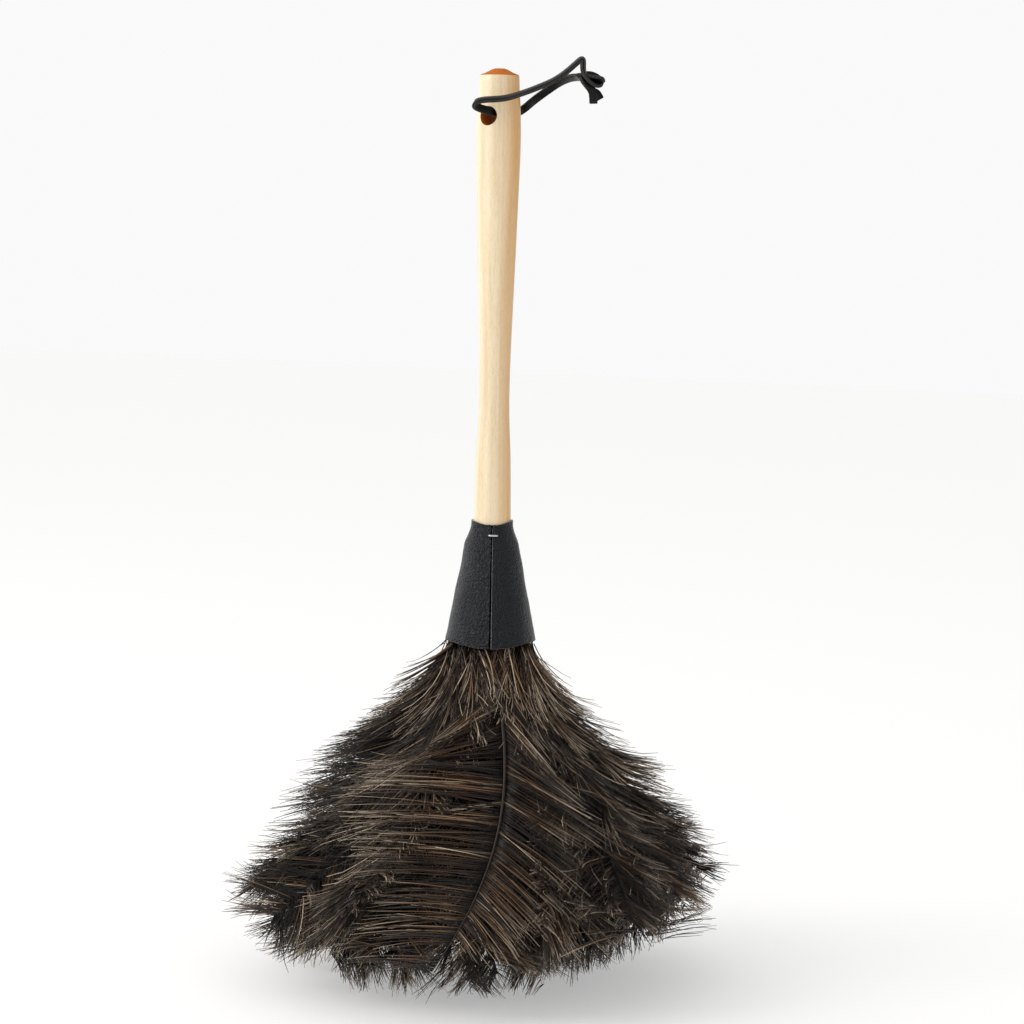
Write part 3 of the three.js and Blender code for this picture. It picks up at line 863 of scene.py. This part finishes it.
def fitted(tracks, slack):
    """Barbs shortened about their roots to stay over the bowl and within the head's reach.
    slack is how strictly each barb keeps to it, near 1. Returns them and how short they are."""
    root = tracks[:, :1]
    slack = slack[:, None]
    floor = np.maximum(0.7, bowl(tracks) + 60 * (slack - 1))
    low = share_within(-root[..., 2], -tracks[..., 2], -floor)
    radii = np.interp(tracks[..., 2], REACH_HEIGHTS, REACH_RADII) * slack
    wide = share_within(np.hypot(root[..., 0], root[..., 1]),
                        np.hypot(tracks[..., 0], tracks[..., 1]), radii)
    rights = (tracks * TO_RIGHT).sum(-1)
    right = share_within(rights[:, :1], rights, RIGHT_REACH * slack)
    size = np.clip(np.minimum(np.minimum(low, wide), right), 0, 1)
    return root + (tracks - root) * size[:, None, None], size


def at(values, places):
    """Rows of values at fractional row numbers."""
    low = np.clip(np.floor(places).astype(int), 0, len(values) - 2)
    share = (places - low)[:, None]
    return values[low] * (1 - share) + values[low + 1] * share


def swept(roots, heading, outward, sizes, wild, rng):
    """Barbs' lines from their roots: each heads off, sweeps outwards, hangs and strays."""
    length, flare, sag = sizes
    stray = np.zeros(roots.shape)
    track = [roots]
    for ring in range(1, BARB_RINGS):
        t = (ring - 0.5) / (BARB_RINGS - 1)
        stray = stray + wild * rng.normal(0, 0.07, roots.shape)
        turn = heading + outward * (flare * t)[:, None] - UP * (sag * t)[:, None] + stray
        track.append(track[-1] + unit(turn) * (length / (BARB_RINGS - 1))[:, None])
    return np.stack(track, 1)


def gathered(track, locks, wild, rng):
    """Barbs' lines drawn towards the middle line of the lock that each is in."""
    kinds = locks.max() + 1
    total = np.zeros((kinds, BARB_RINGS, 3))
    np.add.at(total, locks, track)
    middle = (total / np.bincount(locks, minlength=kinds)[:, None, None])[locks]
    hold = min(1, 2 * wild) * rng.uniform(0.3, 1.0, kinds)[locks]
    pull_in = hold[:, None, None] * np.array(LOCK_PULL)[None, :, None]
    return track * (1 - pull_in) + middle * pull_in


def grow_side(tier, shaft, side, askew, rng):
    """The barbs on one side of a shaft: -1 is its left and 1 its right."""
    line, way, across, under = shaft
    tier = {**tier, **tier.get("right" if side > 0 else "left", {})}
    count = tier["barbs"] // 2
    wild = tier.get("loose", 1.0)
    share = ((np.arange(count) + rng.random(count)) / count) ** 0.95
    rows = 2 + share * (len(line) - 3.001)
    locks = np.cumsum(rng.random(count) < 1 / LOCK_SIZE)
    kinds = locks.max() + 1
    lean, dip, longer, bend = (rng.normal(0, 1, kinds)[locks] for _ in range(4))
    here, going = at(line, rows), unit(at(way, rows))
    beside, below = unit(at(across, rows)), unit(at(under, rows))
    outward = unit(here * (1, 1, 0))
    # Barbs near the root start a little off the shaft, so that the tufts there look full.
    off = np.clip(1 - share / 0.4, 0, 1)
    here = here + beside * (off * rng.uniform(-1, 1, count) * tier["ring"] * 0.2)[:, None]
    here = here + outward * (off * rng.uniform(0, 2.6, count))[:, None]
    opening, length, flare, sag = (
        np.interp(share, [0, 0.45, 1], tier[key]) for key in ("open", "long", "flare", "sag"))
    pale = (rng.random(kinds) < PALE_SHARE)[locks]
    opening = opening + side * askew + wild * (9 * lean + rng.normal(0, 7, count))
    opening = np.radians(opening)
    dip = wild * (0.18 * dip + rng.normal(0, 0.14, count)) + 0.35 * pale
    dip = dip + tier.get("dip", 0.2)
    heading = unit(going * np.cos(opening)[:, None]
                   + side * beside * np.sin(opening)[:, None] + below * dip[:, None])
    length = length * np.clip(1 + 0.15 * longer + rng.normal(0, 0.1, count), 0.4, 1.5)
    flare = flare * np.clip(1 + 0.35 * bend + rng.normal(0, 0.15, count), 0, 2.2)
    flare = flare + 0.5 * pale
    sag = sag * np.clip(1 + 0.3 * rng.normal(0, 1, count), 0.2, 2)
    track = swept(here, heading, outward, (length, flare, sag), wild, rng)
    track = gathered(track, locks, wild, rng)
    slack = rng.normal(1, 0.05, kinds)[locks] * rng.normal(1, 0.03, count)
    track, size = fitted(track, slack)
    keep = size > 0.3
    width = rng.uniform(*tier.get("thick", (0.22, 0.4)), count)
    # The shade varies by lock and by barb at random, is lighter near a plume's root and darker
    # towards its tip, and takes the plume's tone, which on the left-hand plumes is painted shade.
    shade = (0.3 + tier.get("tone", 0) + 0.19 * rng.normal(0, 1, kinds)[locks]
             + 0.26 * rng.normal(0, 1, count))
    shade = shade + 0.3 * np.clip(1 - share / 0.16, 0, 1) - 0.12 * share
    shade = np.clip(shade + 0.5 * pale, 0, 1)
    return track[keep], width[keep], shade[keep]


def grow(tier, shaft, rng):
    """A plume's barbs: their lines, half widths and shades. Barbs leave both sides of the shaft,
    keep together in locks, sweep outwards or hang, and fray at their ends."""
    askew = tier.get("lean", rng.normal(0, 9))
    sides = [grow_side(tier, shaft, side, askew, rng) for side in (-1, 1)]
    return [np.concatenate(part) for part in zip(*sides)]


def ring_offsets(lines, radii, sides, up):
    """The corners of round rings about lines, as two sets of offsets for tubes."""
    way = unit(np.gradient(lines, axis=1))
    wide = unit(np.cross(way, up))
    high = np.cross(way, wide)
    turns = np.arange(sides) * 2 * math.pi / sides
    across = wide[:, :, None, :] * (radii[:, :, None] * np.cos(turns))[..., None]
    over = high[:, :, None, :] * (radii[:, :, None] * np.sin(turns))[..., None]
    return across, over


def make_plume(tier, copy, materials, rng):
    """One plume: its shaft and all its barbs, as one piece."""
    tier = {**tier, **SPECIAL.get((tier["name"], copy), {})}
    shaft = shaft_line(tier, copy, rng)
    line, under = shaft[0], shaft[-1]
    taper = np.interp(np.arange(len(line)), [0, 3, len(line) - 1], [1.2, 1.1, 0.2])
    taper = taper * tier.get("bold", 0.5)
    shaft_rings = ring_offsets(line[None], taper[None], 8, under[None])
    points, walls, ends = tubes(line[None], *shaft_rings)
    barbs, widths, shades = grow(tier, shaft, rng)
    keep = (barbs[:, :, 2].min(1) > CLEAR) & (
        np.abs(barbs[:, :, :2]).max(1) < FURTHEST).all(1)
    barbs, widths, shades = barbs[keep], widths[keep], shades[keep]
    rings = ring_offsets(barbs, widths[:, None] * np.array(BARB_TAPER), 3, UP + 1e-3)
    barb_points, barb_walls, barb_ends = tubes(barbs, *rings, first=len(points))
    everything = np.vstack([points, barb_points]) * MM
    kinds = np.concatenate([np.ones(len(walls)), np.ones(len(ends)),
                            np.zeros(len(barb_walls) + len(barb_ends))])
    plume = mesh_piece(f"{tier['name']}_feather_{copy + 1}", everything,
                       [walls, ends, barb_walls, barb_ends], materials, kinds)
    corners = 3 * BARB_RINGS
    shade = np.concatenate([np.zeros(len(points)), np.repeat(shades, corners)])
    along = np.tile(np.repeat(np.linspace(0, 1, BARB_RINGS), 3), len(barbs))
    along = np.concatenate([np.zeros(len(points)), along])
    for name, values in (("shade", shade), ("along", along)):
        attribute = plume.data.attributes.new(name, "FLOAT", "POINT")
        attribute.data.foreach_set("value", values.astype(np.float32))
    stand_for(plume, "duster", f"{tier['name']}_plume", f"{tier['name']}_plume_{copy + 1}")


def make_plumes():
    """All four tiers. A plume's shape depends only on its tier and its number in it."""
    shaft = shaft_material()
    colours = {
        "core": (("#0d0704", "#2a1a0f", "#4c321d", "#6d4e2e", "#a8916f"), "#a08c74"),
        "lower": (("#0c0704", "#26160c", "#47301c", "#69492a", "#a18a6c"), "#9a8770"),
        "middle": (("#0b0603", "#2a1a0f", "#654930", "#92714f", "#c0ac90"), "#b3a28c"),
        "outer": (("#0c0704", "#2f1e13", "#6f5238", "#a28566", "#d2c1a9"), "#c6b6a2")}
    for number, tier in enumerate(TIERS):
        down = down_material(f"ostrich_down_{tier['name']}", *colours[tier["name"]])
        for copy in range(tier["count"]):
            rng = np.random.default_rng(1000 * number + copy)
            make_plume(tier, copy, [down, shaft], rng)


# ---------------------------------------------------------------- stage and light

def make_stage():
    """A plain pale floor that glows faintly, like a light table."""
    deselect()
    bpy.ops.mesh.primitive_plane_add(size=12, location=(0, 0, 0))
    floor = bpy.context.object
    floor.name = "floor"
    material, _, _ = new_material(
        "floor_light_table", Base_Color=linear("#c9c9c8"), Roughness=0.9,
        Emission_Color=linear("#ffffff"), Emission_Strength=0.37)
    floor.data.materials.append(material)


def soft_light(name, eye, size, power, colour="#ffffff"):
    """A square softbox at eye that faces the object's middle, with its side in metres."""
    light = bpy.data.objects.new(name, bpy.data.lights.new(name, "AREA"))
    bpy.context.scene.collection.objects.link(light)
    light.data.size = size
    light.data.energy = power
    light.data.color = linear(colour)[:3]
    look(light, eye, (0, 0, 0.25), 0)


# The sky's strength as it lights the left and the right, and as the camera sees it.
SKY_LEFT = 1.45
SKY_RIGHT = 0.4
SKY_SEEN = 0.95


def make_light():
    """Soft studio light: a large key high on the left, a weaker fill, and a pale sky that is
    brighter on the left. The camera itself sees an even sky."""
    world = bpy.data.worlds.new("studio")
    bpy.context.scene.world = world
    world.use_nodes = True
    tree = world.node_tree
    sky = tree.nodes["Background"]
    plain_sky = add(tree, "Background", {"Color": linear("#ffffff"), "Strength": SKY_SEEN})
    place = add(tree, "TexCoord", {})
    across = add(tree, "VectorMath", {0: place.outputs["Generated"], 1: TO_RIGHT},
                 operation="DOT_PRODUCT")
    side = add(tree, "MapRange", {"Value": across.outputs["Value"], "From Min": -1.0,
                                  "From Max": 1.0, "To Min": SKY_LEFT, "To Max": SKY_RIGHT})
    tree.links.new(side.outputs["Result"], sky.inputs["Strength"])
    sky.inputs["Color"].default_value = linear("#ffffff")
    seen = add(tree, "LightPath", {})
    either = add(tree, "MixShader", {0: seen.outputs["Is Camera Ray"],
                                     1: sky.outputs[0], 2: plain_sky.outputs[0]})
    tree.links.new(either.outputs[0], tree.nodes["World Output"].inputs["Surface"])
    soft_light("key", (-1.5, -1.7, 1.6), size=1.3, power=26, colour="#fffaf2")
    soft_light("fill", (1.9, -0.9, 0.9), size=1.4, power=4)


make_camera()
make_lace()
make_handle()
make_collar()
make_lap()
wire = steel()
make_staple(wire)
finish_binding_wires(wire)
make_plumes()
make_stage()
make_light()
bpy.context.scene.view_settings.view_transform = "Standard"
